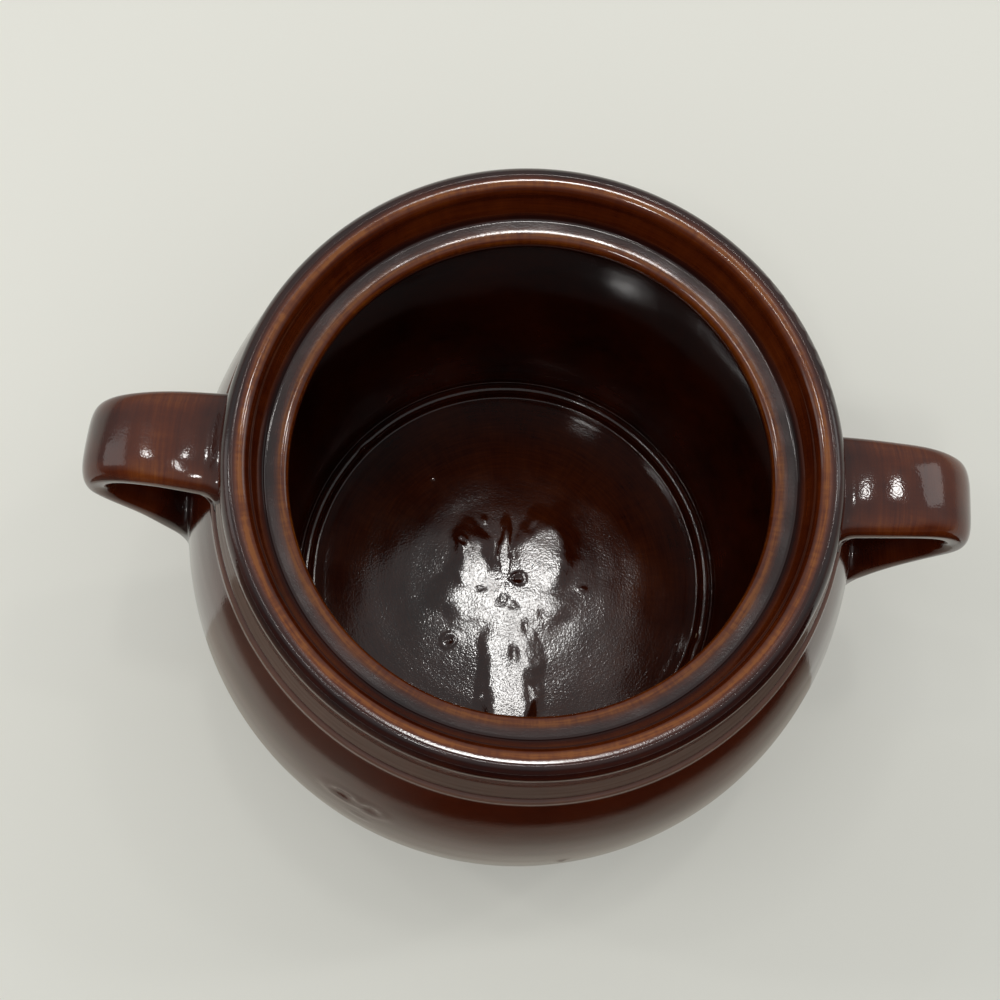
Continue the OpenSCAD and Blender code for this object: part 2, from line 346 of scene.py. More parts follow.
glazeSpots = {
    "thin": (
        ("crest", "rimHeight", (-1.6, -0.3), 0.8, 0.86),
        ("crest", "rimHeight", (-3.1, -1.6), 1.1, 0.26),
        ("seatRadius", "ledgeHeight", (1.0, 5.0), 2.8, 0.22),
        ("throat", "ledgeHeight", (1.9, -0.4), 1.0, 0.82),
        ("throat", "ledgeHeight", (0.4, -1.8), 1.1, 0.55),
        ("lipRadius", "lipLow", (0.0, 0.8), 0.8, 0.55),
        ("stepRadius", "stepHeight", (0.0, -0.3), 0.8, 0.28),
        ("bellyFoot", "bareHeight", (0.0, 0.0), 0.9, 0.75),
        ("axis", "floorHeight", (44.0, 0.0), 12.0, 0.26),
        ("axis", "floorHeight", (20.0, 0.0), 13.0, 0.20),
    ),
    "pooled": (
        ("crest", "rimHeight", (1.2, -0.3), 0.9, 0.95),
        ("lipRadius", "rimHeight", (-1.6, -1.6), 1.0, 0.9),
        ("lipRadius", "rimHeight", (-0.6, -3.6), 1.3, 0.5),
        ("seatRadius", "ledgeHeight", (-0.5, 0.7), 1.1, 0.9),
        ("seatRadius", "ledgeHeight", (-2.2, 0.0), 1.2, 0.6),
        ("lineRadius", "stepHeight", (0.0, 0.9), 0.45, 0.9),
    ),
    # painted reflection: the cove and the turned line get a grey that stands in for pale surroundings
    # mirrored in the glaze
    "hazed": (
        *(("neck", "lipLow", (1.0 + 0.8 * i, -1.3 - 1.2 * i), 0.9, 0.46) for i in range(4)),
        ("stepRadius", "stepHeight", (1.0, 0.1), 0.75, 0.42),
    ),
}


def nearSpots(points, spots):
    # how near each point of the line is to the spots
    places = [moved((pot[radius], pot[height]), shift) for radius, height, shift, _, _ in spots]
    out = []
    for point in points:
        gaps = [math.dist(point, place) / spot[3] for place, spot in zip(places, spots)]
        out.append(max(spot[4] * math.exp(-(gap ** 2) / 2) for gap, spot in zip(gaps, spots)))
    return out


class Wire:
    # a node's output, so that sums on values can be written out
    def __init__(self, bench, socket):
        self.bench = bench
        self.socket = socket

    def maths(self, operation, *values):
        return self.bench.add("ShaderNodeMath", {"operation": operation}, dict(enumerate((self,) + values)))

    def flipped(self, operation, value):
        return self.bench.add("ShaderNodeMath", {"operation": operation}, {0: value, 1: self})

    def __add__(self, other):
        return self.maths("ADD", other)

    def __radd__(self, other):
        return self.flipped("ADD", other)

    def __sub__(self, other):
        return self.maths("SUBTRACT", other)

    def __rsub__(self, other):
        return self.flipped("SUBTRACT", other)

    def __mul__(self, other):
        return self.maths("MULTIPLY", other)

    def __rmul__(self, other):
        return self.flipped("MULTIPLY", other)

    def __truediv__(self, other):
        return self.maths("DIVIDE", other)

    def __rtruediv__(self, other):
        return self.flipped("DIVIDE", other)


class Bench:
    # a node tree under construction
    def __init__(self, tree):
        self.tree = tree

    def add(self, kind, settings=None, inputs=None, output=0):
        node = self.tree.nodes.new(kind)
        for key, value in (settings or {}).items():
            if key == "stops":
                ramp = node.color_ramp
                while len(ramp.elements) < len(value):
                    ramp.elements.new(0.5)
                for element, (position, colour) in zip(ramp.elements, value):
                    element.position = position
                    element.color = (*colour, 1)
            else:
                setattr(node, key, value)
        for key, value in (inputs or {}).items():
            if isinstance(value, Wire):
                self.tree.links.new(value.socket, node.inputs[key])
            else:
                node.inputs[key].default_value = value
        return Wire(self, node.outputs[output]) if len(node.outputs) else None

    def mapped(self, value, low, high, toLow=0.0, toHigh=1.0, smooth=False):
        settings = {"interpolation_type": "SMOOTHSTEP" if smooth else "LINEAR"}
        inputs = {"Value": value, "From Min": low, "From Max": high, "To Min": toLow, "To Max": toHigh}
        return self.add("ShaderNodeMapRange", settings, inputs)

    def mixed(self, factor, first, second):
        # a colour is a wire, or three numbers
        first, second = (c if isinstance(c, Wire) else (*c, 1) for c in (first, second))
        return self.add("ShaderNodeMix", {"data_type": "RGBA"}, {0: factor, 6: first, 7: second}, output=2)

    def vector(self, operation, first, second=None, scale=None):
        inputs = {0: first}
        if second is not None:
            inputs[1] = second
        if scale is not None:
            inputs["Scale"] = scale
        return self.add("ShaderNodeVectorMath", {"operation": operation}, inputs)

    def number(self, operation, *vectors):
        # vector maths whose answer is one number
        return self.add("ShaderNodeVectorMath", {"operation": operation}, dict(enumerate(vectors)), output=1)

    def axis(self, vector, index):
        return self.add("ShaderNodeSeparateXYZ", None, {0: vector}, output=index)

    def place(self):
        return self.add("ShaderNodeTexCoord", output=3)

    def layer(self, name):
        return self.add("ShaderNodeAttribute", {"attribute_name": name}, output=2)

    def bump(self, height, strength=1.0):
        # heights are in millimetres
        inputs = {"Height": height, "Distance": 1.0 * mm, "Strength": strength}
        return self.add("ShaderNodeBump", None, inputs)

    def flat(self, place):
        return self.vector("MULTIPLY", place, (1, 1, 0))

    def cloud(self, place, scale, detail=2.0, roughness=0.5, seed=None):
        settings = {"noise_dimensions": "3D" if seed is None else "4D"}
        inputs = {"Vector": place, "Scale": scale, "Detail": detail, "Roughness": roughness}
        if seed is not None:
            inputs["W"] = seed
        return self.add("ShaderNodeTexNoise", settings, inputs)

    def hooped(self, place, scale, lift, detail, roughness=0.5, seed=None):
        # noise drawn out round the axis: its scale round the pot, and its place along the outline
        around = self.vector("SCALE", self.vector("NORMALIZE", self.flat(place)), scale=scale)
        up = self.add("ShaderNodeCombineXYZ", None, {"Z": lift})
        return self.cloud(self.vector("ADD", around, up), 1.0, detail, roughness, seed)


wheelShape = {
    "radius": 0.1,         # of the circle that the outline is swept round
    "weld": 0.004 * mm,    # closes the sweep's seam and its poles
    "ringWander": 0.9,     # how much a thrown ring changes round the pot
    "swellSeed": 7.0,
    "puckerSeed": 13.0,
}


def turningTree():
    # sweeps an outline round the axis, then puts the thrower's rings, swells and puckers on its skin
    s = wheelShape
    tree = bpy.data.node_groups.new("turnedOnWheel", "GeometryNodeTree")
    face = tree.interface
    face.new_socket("Geometry", in_out="INPUT", socket_type="NodeSocketGeometry")
    face.new_socket("Steps Round", in_out="INPUT", socket_type="NodeSocketInt")
    for label in ("Seed", "Ring Depth", "Ring Pitch", "Swell Depth", "Swell Size",
                  "Pucker Depth", "Pucker Size"):
        face.new_socket(label, in_out="INPUT", socket_type="NodeSocketFloat")
    face.new_socket("Finish", in_out="INPUT", socket_type="NodeSocketMaterial")
    face.new_socket("Geometry", in_out="OUTPUT", socket_type="NodeSocketGeometry")
    bench = Bench(tree)
    given = tree.nodes.new("NodeGroupInput")
    size = {socket.name: Wire(bench, socket) for socket in given.outputs if socket.name}
    wheel = bench.add("GeometryNodeCurvePrimitiveCircle", {"mode": "RADIUS"},
                      {"Resolution": size["Steps Round"], "Radius": s["radius"]})
    outline = bench.add("GeometryNodeMeshToCurve", None, {"Mesh": size["Geometry"]})
    swept = bench.add("GeometryNodeCurveToMesh", None, {"Curve": wheel, "Profile Curve": outline})
    closed = bench.add("GeometryNodeMergeByDistance", None, {"Geometry": swept, "Distance": s["weld"]})
    place = bench.add("GeometryNodeInputPosition")
    along, skin = (bench.add("GeometryNodeInputNamedAttribute", {"data_type": "FLOAT"}, {"Name": name})
                   for name in ("along", "skin"))
    rings = bench.hooped(place, s["ringWander"], along / size["Ring Pitch"], 1.0, seed=size["Seed"])
    swells = bench.cloud(place, 1 / size["Swell Size"], 1.0, seed=size["Seed"] + s["swellSeed"])
    puckers = bench.cloud(place, 1 / size["Pucker Size"], 0.0, seed=size["Seed"] + s["puckerSeed"])
    depth = (rings - 0.5) * size["Ring Depth"] + (swells - 0.5) * size["Swell Depth"]
    depth = depth + (puckers - 0.5) * size["Pucker Depth"]
    shift = bench.vector("SCALE", bench.add("GeometryNodeInputNormal"), scale=depth * skin)
    worked = bench.add("GeometryNodeSetPosition", None, {"Geometry": closed, "Offset": shift})
    smooth = bench.add("GeometryNodeSetShadeSmooth", None, {"Geometry": worked})
    real = bench.add("GeometryNodeRealizeInstances", None, {"Geometry": smooth})
    coloured = bench.add("GeometryNodeSetMaterial", None, {"Geometry": real, "Material": size["Finish"]})
    result = tree.nodes.new("NodeGroupOutput")
    tree.links.new(coloured.socket, result.inputs[0])
    return tree


def addObject(name, data):
    piece = bpy.data.objects.new(name, data)
    bpy.context.scene.collection.objects.link(piece)
    return piece


def addLayers(mesh, layers):
    for label, values in layers.items():
        layer = mesh.attributes.new(label, "FLOAT", "POINT")
        layer.data.foreach_set("value", [float(v) for v in values])


def outlineObject(name, points, skins):
    # the outline as a line of edges; skins says how far each point takes the thrower's marks
    walked = [0.0]
    for step in stepLengths(points):
        walked.append(walked[-1] + step)
    mesh = bpy.data.meshes.new(name)
    spots = [(r * mm - wheelShape["radius"], -z * mm, 0) for r, z in points]
    mesh.from_pydata(spots, [(i, i + 1) for i in range(len(spots) - 1)], [])
    addLayers(mesh, {"skin": skins, "along": [w * mm for w in walked]})
    addLayers(mesh, {label: nearSpots(points, near) for label, near in glazeSpots.items()})
    return addObject(name, mesh)


def plainMesh(piece):
    # the modifiers' result as a plain mesh, with none of them left on the piece
    depsgraph = bpy.context.evaluated_depsgraph_get()
    mesh = bpy.data.meshes.new_from_object(piece.evaluated_get(depsgraph), depsgraph=depsgraph)
    piece.modifiers.clear()
    piece.data = mesh
    mesh.name = piece.name
    return mesh


def meshPoints(mesh, key="co"):
    places = numpy.zeros(len(mesh.vertices) * 3)
    mesh.vertices.foreach_get(key, places)
    return places.reshape(-1, 3)


def setPoints(mesh, places):
    mesh.vertices.foreach_set("co", places.astype(numpy.float32).ravel())
    mesh.update()


def faceOutwards(mesh):
    # an inside-out mesh has a negative volume
    triangles = numpy.zeros(len(mesh.loop_triangles) * 3, dtype=numpy.int64)
    mesh.loop_triangles.foreach_get("vertices", triangles)
    corners = meshPoints(mesh)[triangles.reshape(-1, 3)]
    volume = numpy.einsum("ij,ij->i", corners[:, 0], numpy.cross(corners[:, 1], corners[:, 2])).sum()
    if volume < 0:
        mesh.flip_normals()


def turned(name, points, skins, stepsRound, marks, finish):
    piece = outlineObject(name, points, skins)
    modifier = piece.modifiers.new("turning", "NODES")
    modifier.node_group = wheelTree
    values = {"Steps Round": stepsRound, "Finish": finish, **marks}
    for socket in wheelTree.interface.items_tree:
        if socket.in_out == "INPUT" and socket.name in values:
            modifier[socket.identifier] = values[socket.name]
    faceOutwards(plainMesh(piece))
    return piece


warpShape = {
    "neckSqueeze": 0.010,     # how much narrower the neck is along the handles
    "squeezeLow": 70,         # the belly is round below this height
    "squeezeHigh": 125,
}


def eased(share):
    return share * share * (3 - 2 * share)


def warpPiece(piece):
    # the whole pot is a little narrower along the handles, from the shoulder up
    s = warpShape
    places = meshPoints(piece.data)
    rise = (places[:, 2] / mm - s["squeezeLow"]) / (s["squeezeHigh"] - s["squeezeLow"])
    places[:, 0] *= 1 - s["neckSqueeze"] * eased(numpy.clip(rise, 0, 1))
    setPoints(piece.data, places)


markShape = {
    "reach": 4,       # a mark leaves the walls beyond it alone, and those that face another way
    "facing": 0.3,
    "level": 0.9,     # where the skin is this level, a mark's turn starts at the handles' line
    "pit": 0.55,
    "rim": 0.45,
    "rimWidth": 0.3,
}


def markForm(kind, reach):
    s = markShape
    if kind == "crater":
        rim = numpy.exp(-(((reach - 1) / s["rimWidth"]) ** 2))
        return -numpy.exp(-((reach / s["pit"]) ** 2)) + s["rim"] * rim
    if kind == "mound":
        return numpy.clip(1 - reach * reach, 0, 1) ** 2
    return numpy.exp(-(reach ** 2))


def pressSpots(piece, spots):
    # presses or raises small marks; each is a place, half sizes, a turn in degrees, a height and a kind
    s = markShape
    places = meshPoints(piece.data) / mm
    normals = meshPoints(piece.data, "normal")
    lift = numpy.zeros(len(places))
    for centre, half, turn, height, kind in spots:
        near = numpy.argmin(((places - centre) ** 2).sum(1))
        up = normals[near]
        side = numpy.cross((0, 0, 1), up) if abs(up[2]) < s["level"] else numpy.array((1.0, 0, 0))
        side = side - up * side.dot(up)
        side /= numpy.linalg.norm(side)
        across = numpy.cross(up, side)
        a = math.radians(turn)
        first = side * math.cos(a) + across * math.sin(a)
        second = across * math.cos(a) - side * math.sin(a)
        gap = places - places[near]
        reach = numpy.sqrt((gap @ first / half[0]) ** 2 + (gap @ second / half[1]) ** 2)
        close = (numpy.abs(gap @ up) < s["reach"]) & (normals @ up > s["facing"])
        lift += numpy.where(close, markForm(kind, reach) * height, 0)
    setPoints(piece.data, (places + normals * lift[:, None]) * mm)


# one glossy brown glaze: amber where it is thin, near black where it has pooled, streaked along its runs

glazeLook = {
    # from thick to thin: the place on the ramp and the colour
    "stops": (
        (0.0, (0.013, 0.0024, 0.0012)),
        (0.22, (0.046, 0.0066, 0.0016)),
        (0.48, (0.084, 0.0145, 0.0022)),
        (0.76, (0.135, 0.031, 0.0036)),
        (1.0, (0.21, 0.062, 0.0080)),
    ),
    "pool": (0.0050, 0.0032, 0.0042),
    "poolDepth": 1.3,
    # painted reflection: the grey put into the base colour on the cove and the turned line
    "paintedReflectionGrey": (0.20, 0.165, 0.135),
    "paintedReflectionDepth": (0.7, 0.6),
    # noise: its scales, its detail and its roughness
    "runs": (46.0, 110.0, 3.0, 0.65),
    "hoops": (5.0, 1500.0, 2.0, 0.6),
    "clouds": (38.0, 3.0, 0.55),
    "mottle": (300.0, 2.0, 0.6),
    "coarseGrain": (850.0, 1.0),
    "fineGrain": (2100.0, 0.0),
    # how strongly it shows, first where the glaze is thin, then everywhere
    "thinRuns": 1.2,
    "thinHoops": 1.7,
    "mottleDepth": 0.14,
    "hoopDepth": 0.12,
    "glossSpread": 0.05,
    "cloudRange": (0.3, 0.7),
    "bubbledHeights": (40 * mm, 20 * mm),
    "ior": 1.5,
}

# what differs: brightness, blotches, roughness, the depth of both grains, and their growth low down
glazeKinds = {
    "outside_glaze": {"tone": 0.22, "mottling": 0.34, "gloss": 0.08, "grain": (0.012, 0.013), "low": 1.0},
    "inside_glaze": {"tone": 0.12, "mottling": 0.60, "gloss": 0.07, "grain": (0.003, 0.0036), "low": 3.8},
    "handle_glaze": {"tone": 0.25, "mottling": 1.25, "gloss": 0.07, "grain": (0.013, 0.010), "low": 1.0},
}


def newMaterial(name):
    material = bpy.data.materials.new(name)
    material.use_nodes = True
    material.node_tree.nodes.clear()
    return material, Bench(material.node_tree)


def finishMaterial(bench, kind, inputs):
    shader = bench.add(kind, None, inputs)
    bench.add("ShaderNodeOutputMaterial", None, {"Surface": shader})


def glaze(name):
    s, own = glazeLook, glazeKinds[name]
    material, bench = newMaterial(name)
    place = bench.place()
    thin, pooled, hazed, along = (bench.layer(label) for label in ("thin", "pooled", "hazed", "along"))
    runs, hoops = (bench.hooped(place, scale, along * pitch, detail, roughness)
                   for scale, pitch, detail, roughness in (s["runs"], s["hoops"]))
    clouds = bench.cloud(place, *s["clouds"])
    mottle = bench.cloud(place, *s["mottle"])
    streaks = (runs - 0.5) * s["thinRuns"] + (hoops - 0.5) * s["thinHoops"]
    patches = (clouds - 0.5) * own["mottling"] + (mottle - 0.5) * s["mottleDepth"]
    heat = thin * (1.0 + streaks) + patches + (hoops - 0.5) * s["hoopDepth"] + own["tone"]
    colour = bench.add("ShaderNodeValToRGB", {"stops": s["stops"]}, {"Fac": heat})
    colour = bench.mixed(pooled * (s["poolDepth"] - clouds), colour, s["pool"])
    # painted reflection: grey mixed into the base colour on the cove and the turned line
    colour = bench.mixed(hazed * (s["paintedReflectionDepth"][0] + hoops * s["paintedReflectionDepth"][1]), colour, s["paintedReflectionGrey"])
    roughness = bench.mapped(clouds, *s["cloudRange"], own["gloss"], own["gloss"] + s["glossSpread"])
    # the grain is stronger low down, where the glaze has bubbled
    bubbled = bench.mapped(bench.axis(place, 2), *s["bubbledHeights"], 1.0, own["low"])
    coarse, fine = (bench.cloud(place, *s[grain]) for grain in ("coarseGrain", "fineGrain"))
    grain = coarse * own["grain"][0] * bubbled + fine * own["grain"][1] * bubbled
    normal = bench.bump(grain)
    inputs = {"Base Color": colour, "Roughness": roughness, "Normal": normal, "IOR": s["ior"]}
    finishMaterial(bench, "ShaderNodeBsdfPrincipled", inputs)
    return material


# bare fired clay: buff, speckled, gritty, with faint turning lines

clayLook = {
    "clouds": (55.0, 4.0, 0.6),
    "grit": (1400.0, 2.0, 0.7),
    "specks": (700.0, 1.0, 0.5),
    "speckRange": (0.66, 0.74),
    "speckDepth": 0.7,
    "lineWander": 1.5,
    "gritHeight": 0.10,
    "lineHeight": 0.06,
    "bump": 0.8,
    "gritRange": (0.2, 0.8),
    "dullness": (0.72, 0.92),
    "ior": 1.45,
}
clayKinds = {
    "stoneware_clay": {"dark": (0.46, 0.33, 0.21), "light": (0.60, 0.46, 0.31), "speck": (0.16, 0.08, 0.04),
                       "rings": 4200.0},
    "slip": {"dark": (0.36, 0.24, 0.15), "light": (0.50, 0.36, 0.24), "speck": (0.12, 0.06, 0.03),
             "rings": 900.0},
}


def clay(name):
    s, own = clayLook, clayKinds[name]
    material, bench = newMaterial(name)
    place = bench.place()
    clouds = bench.cloud(place, *s["clouds"])
    grit = bench.cloud(place, *s["grit"])
    specks = bench.mapped(bench.cloud(place, *s["specks"]), *s["speckRange"])
    radius = bench.number("LENGTH", bench.flat(place))
    lines = (radius * own["rings"] + clouds * s["lineWander"]).maths("SINE") * 0.5 + 0.5
    colour = bench.mixed(clouds, own["dark"], own["light"])
    colour = bench.mixed(specks * s["speckDepth"], colour, own["speck"])
    height = grit * s["gritHeight"] + lines * s["lineHeight"]
    normal = bench.bump(height, s["bump"])
    roughness = bench.mapped(grit, *s["gritRange"], *s["dullness"])
    inputs = {"Base Color": colour, "Roughness": roughness, "Normal": normal, "IOR": s["ior"]}
    finishMaterial(bench, "ShaderNodeBsdfPrincipled", inputs)
    return material


def wheelMarks(seed, rings=(0.0, 10), swells=(0.0, 30), puckers=(0.0, 6)):
    # the depth and the size of each kind of mark, in millimetres
    return {"Seed": seed, "Ring Depth": rings[0] * mm, "Ring Pitch": rings[1] * mm,
            "Swell Depth": swells[0] * mm, "Swell Size": swells[1] * mm,
            "Pucker Depth": puckers[0] * mm, "Pucker Size": puckers[1] * mm}


coatWork = {
    "outsideSteps": 440,
    "insideSteps": 368,
    "outsideMarks": wheelMarks(4.0, rings=(0.22, 11), swells=(0.4, 45), puckers=(0.05, 7)),
    "insideMarks": wheelMarks(21.0, rings=(0.20, 9), swells=(0.5, 30), puckers=(0.11, 8)),
    "fadeRise": 6,        # the marks fade over this height, up to the crest and down to the bare clay
    "crestMarks": 0.3,
    "calmMarks": 0.45,    # on the seat, the ledge and the floor
    "calmUnder": 4,       # how far under the ledge and over the floor it is calm
    "calmRadius": 67,
    "beadMarks": 1.6,     # on the bead in the corner, between these radii
    "beadBand": (64.5, 70),
}

# small marks on each coat: place, half sizes, turn, height, kind
outsideSpots = (
    ((-42.5, -77.6, 112.5), (5.6, 4.0), 15, 0.66, "crater"),
    ((-35.0, -81.0, 113.5), (4.4, 3.6), 0, 0.55, "crater"),
    ((-38.8, -82.2, 99.3), (5.0, 1.6), 5, 0.25, "mound"),
    ((15.3, -90.9, 88.8), (1.3, 1.0), 0, 0.35, "bump"),
    ((28.8, -90.0, 64.0), (1.5, 1.2), 0, 0.35, "bump"),
    ((73.0, 10.4, 161.0), (0.9, 0.6), 0, -0.35, "bump"),
)
insideSpots = (
    ((4.0, 9.0, 9.0), (1.9, 7.5), 4, -0.07, "mound"),
    ((-4.6, 8.0, 9.0), (1.8, 6.5), -6, -0.07, "mound"),
    ((-20.0, 34.0, 9.0), (22, 14), 20, 0.16, "mound"),
    ((30.0, 12.0, 9.0), (14, 20), 30, -0.20, "mound"),
    ((-49.8, 41.8, 11.6), (1.8, 1.6), 0, -0.6, "bump"),
    ((63.2, -15.7, 11.6), (1.7, 1.6), 0, -0.6, "bump"),
    ((60.8, -23.3, 11.6), (1.5, 1.4), 0, -0.5, "bump"),
    ((-0.7, -6.5, 9.0), (1.9, 1.6), 30, -0.09, "bump"),
    ((2.8, -8.7, 9.0), (1.6, 1.1), -20, -0.07, "bump"),
    ((7.4, -15.5, 9.0), (1.3, 2.2), 10, -0.08, "bump"),
    ((3.8, -24.8, 9.0), (1.3, 2.5), 8, -0.09, "bump"),
    ((12.6, -10.9, 9.0), (1.1, 1.9), 20, -0.06, "bump"),
    ((-8.3, -3.2, 9.0), (1.2, 1.0), 0, -0.06, "bump"),
    ((-18.3, -21.7, 9.0), (1.9, 1.9), 0, 0.30, "crater"),
    ((3.7, 0.6, 9.0), (1.9, 1.7), 0, 0.28, "crater"),
    ((-15.5, 12.6, 9.0), (1.5, 1.5), 0, 0.22, "crater"),
    ((26.0, -1.6, 9.0), (0.8, 0.8), 0, 0.20, "bump"),
    ((-8.5, 20.6, 9.0), (0.8, 0.7), 0, 0.20, "bump"),
    ((-27.3, 34.6, 9.0), (0.8, 0.8), 0, 0.20, "bump"),
    ((30.9, 64.1, 151.4), (0.7, 0.6), 0, 0.30, "bump"),
    ((68.7, 20.3, 160.0), (0.7, 0.9), 0, -0.30, "bump"),
)

# a row of small bumps and dimples along the crest, its angles in radians
lipRow = {
    "radius": 74.2,
    "height": 161.8,
    "half": (1.1, 0.7),
    "turn": 40,
    "rise": 0.16,
    "start": 0.22,
    "step": 0.035,
    "count": 15,
}


def lipSpots():
    s = lipRow
    spots = []
    for i in range(s["count"]):
        a = s["start"] + s["step"] * i
        place = (s["radius"] * math.cos(a), s["radius"] * math.sin(a), s["height"])
        spots.append((place, s["half"], s["turn"] * i, (-1) ** i * s["rise"], "bump"))
    return tuple(spots)


floorShape = {
    # dished just enough to catch the overhead lamp: place, half sizes and turn of each patch
    "dishes": (
        ((12.4, 8.6), (6.5, 10.5), -8),
        ((-11.0, 4.0), (4.6, 9.0), 12),
        ((-0.6, 8.0), (1.5, 7.5), 4),
        ((-1.0, -7.0), (14.0, 6.5), 0),
        ((2.5, -28.0), (6.0, 24.0), 2),
    ),
    "dishCentre": (2.0, -8.0),
    "eyeHeight": 496,                    # how far over the floor the camera is, which sets the dishes' depth
    "dishEdge": (1.9, 0.95),             # where a dish fades out, in half sizes, and over how much
    "wander": ((7.0, 2.2), (2.6, 0.8)),  # size and depth of the waves in the dishes' outlines
    "tilt": 0.28,                        # the floor stands higher in front than at the back by twice this
    "tiltStart": 4,
    "tiltRun": 42,
    "radius": 66,
    "skin": 0.7,                         # how near the floor's height a point of its skin is
}


def pressFloor(piece):
    s = floorShape
    places = meshPoints(piece.data) / mm
    floor = numpy.abs(places[:, 2] - pot["floorHeight"]) < s["skin"]
    floor &= numpy.hypot(places[:, 0], places[:, 1]) < s["radius"]
    wander = numpy.zeros((len(places), 3))
    for i in numpy.flatnonzero(floor):
        spot = Vector(places[i])
        wander[i] = sum((noise.noise_vector(spot / size) * depth for size, depth in s["wander"]), Vector())
    share = numpy.zeros(len(places))
    for centre, half, turn in s["dishes"]:
        a = math.radians(turn)
        x = places[:, 0] - centre[0] + wander[:, 0]
        y = places[:, 1] - centre[1] + wander[:, 1]
        reach = numpy.hypot((x * math.cos(a) + y * math.sin(a)) / half[0],
                            (y * math.cos(a) - x * math.sin(a)) / half[1])
        edge = numpy.clip((s["dishEdge"][0] - reach) / s["dishEdge"][1], 0, 1)
        share = numpy.maximum(share, eased(edge))
    # the floor as a whole stands a little higher in front than at the back
    slope = eased(numpy.clip((places[:, 1] - s["tiltStart"]) / s["tiltRun"], 0, 1))
    offCentre = (places[:, 0] - s["dishCentre"][0]) ** 2 + (places[:, 1] - s["dishCentre"][1]) ** 2
    rise = offCentre / (4 * s["eyeHeight"])
    places[:, 2] += numpy.where(floor, s["tilt"] * (1 - 2 * slope), 0)
    places[:, 2] += numpy.where(floor, rise * share, 0)
    setPoints(piece.data, places * mm)


def coatLine(skinLine, zones, marked):
    # the skin, then back along its inner face, with each point's share of the marks: none behind
    skin = evenLine(skinLine, zones)
    back = evenLine(insetLine(skin, pot["coat"]), gapZones["back"])
    back.reverse()
    return skin + back, [marked(*p) * crestFade(p[1]) for p in skin] + [0.0] * len(back)


def crestFade(height):
    return min(max((pot["rimHeight"] - height) / coatWork["fadeRise"], coatWork["crestMarks"]), 1)


def outsideMarked(radius, height):
    return min(1.0, (height - pot["bareHeight"]) / coatWork["fadeRise"])


def insideMarked(radius, height):
    s = coatWork
    low = height < pot["floorHeight"] + s["calmUnder"]
    if low and s["beadBand"][0] < radius < s["beadBand"][1]:
        return s["beadMarks"]
    calm = height > pot["ledgeHeight"] - s["calmUnder"] or (low and radius < s["calmRadius"])
    return s["calmMarks"] if calm else 1.0


def outsideCoat():
    s = coatWork
    points, skins = coatLine(outsideLine(), gapZones["outside"], outsideMarked)
    points, skins = points + points[:1], skins + skins[:1]
    piece = turned("outside_coat", points, skins, s["outsideSteps"], s["outsideMarks"], outsideFinish)
    pressSpots(piece, outsideSpots + lipSpots())
    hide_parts("outside_glaze")
    return piece


def insideCoat():
    s = coatWork
    points, skins = coatLine(insideLine(), gapZones["inside"], insideMarked)
    piece = turned("inside_coat", points, skins, s["insideSteps"], s["insideMarks"], insideFinish)
    pressFloor(piece)
    pressSpots(piece, insideSpots)
    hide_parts("inside_glaze")
    return piece


clayShape = {
    "steps": 96,
    "footSteps": 256,
    "plainMarks": wheelMarks(2.0),
    "footMarks": wheelMarks(9.0, rings=(0.28, 2.2), swells=(0.3, 30)),
    "underCoat": 0.06,
    "slabGap": 0.4,
    "slabSeam": 0.02,
    "beadRadius": 1.1,
    # the foot ring's corners, in shares of its bevel, and its side: how far out, and the share of its height
    "hollowCorner": ((-1.6, 0.0), (-0.6, -0.5)),
    "innerEdge": ((0.0, 1.0), (0.4, 0.35), (1.2, 0.0)),
    "outerEdge": ((-1.0, 0.0), (-0.3, 0.3), (0.0, 1.0)),
    "side": ((0.0, 0.65), (0.25, 0.85)),
    "marksAbove": 1.5,    # the slab shows marks in its hollow and from here up to near its top
    "marksUnderTop": 3,
}


def cutLine(line, low, high):
    # the stretch of the line between two heights, with a point at each height that it crosses
    out = []
    for p, q in zip(line, line[1:]):
        if low < p[1] < high:
            out.append(p)
        for height in (low, high):
            if min(p[1], q[1]) < height <= max(p[1], q[1]):
                t = (height - p[1]) / (q[1] - p[1])
                out.append((p[0] + (q[0] - p[0]) * t, height))
    return out


def clayLine(low, high):
    # the clay's own face between two heights, up the outside and down the inside
    depth = pot["coat"] + clayShape["underCoat"]
    lines = [evenLine(insetLine(line, depth), gapZones["clay"]) for line in (outsideLine(), insideLine())]
    return cutLine(lines[0], low, high) + cutLine(lines[1], low, high)


def clayPiece(name, node, points, marks, skins=None, stepsRound=clayShape["steps"]):
    # an outline that starts on the axis stays open, any other is closed
    skins = skins or [0.0] * len(points)
    if points[0][0] > 0:
        points, skins = points + points[:1], skins + skins[:1]
    piece = turned(name, points, skins, stepsRound, marks, clayFinish)
    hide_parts(node)
    return piece


def clayPieces():
    s, marks = pot, clayShape["plainMarks"]
    slabTop = s["floorHeight"] - s["coat"] - clayShape["slabGap"]
    wall = clayLine(slabTop + clayShape["slabSeam"], s["stepHeight"])
    neck = clayLine(s["stepHeight"], s["rimHeight"])
    return [clayPiece("belly_clay", "belly_wall", wall, marks),
            clayPiece("neck_clay", "neck_collar", neck, marks),
            footSlab(slabTop), cornerBead()]


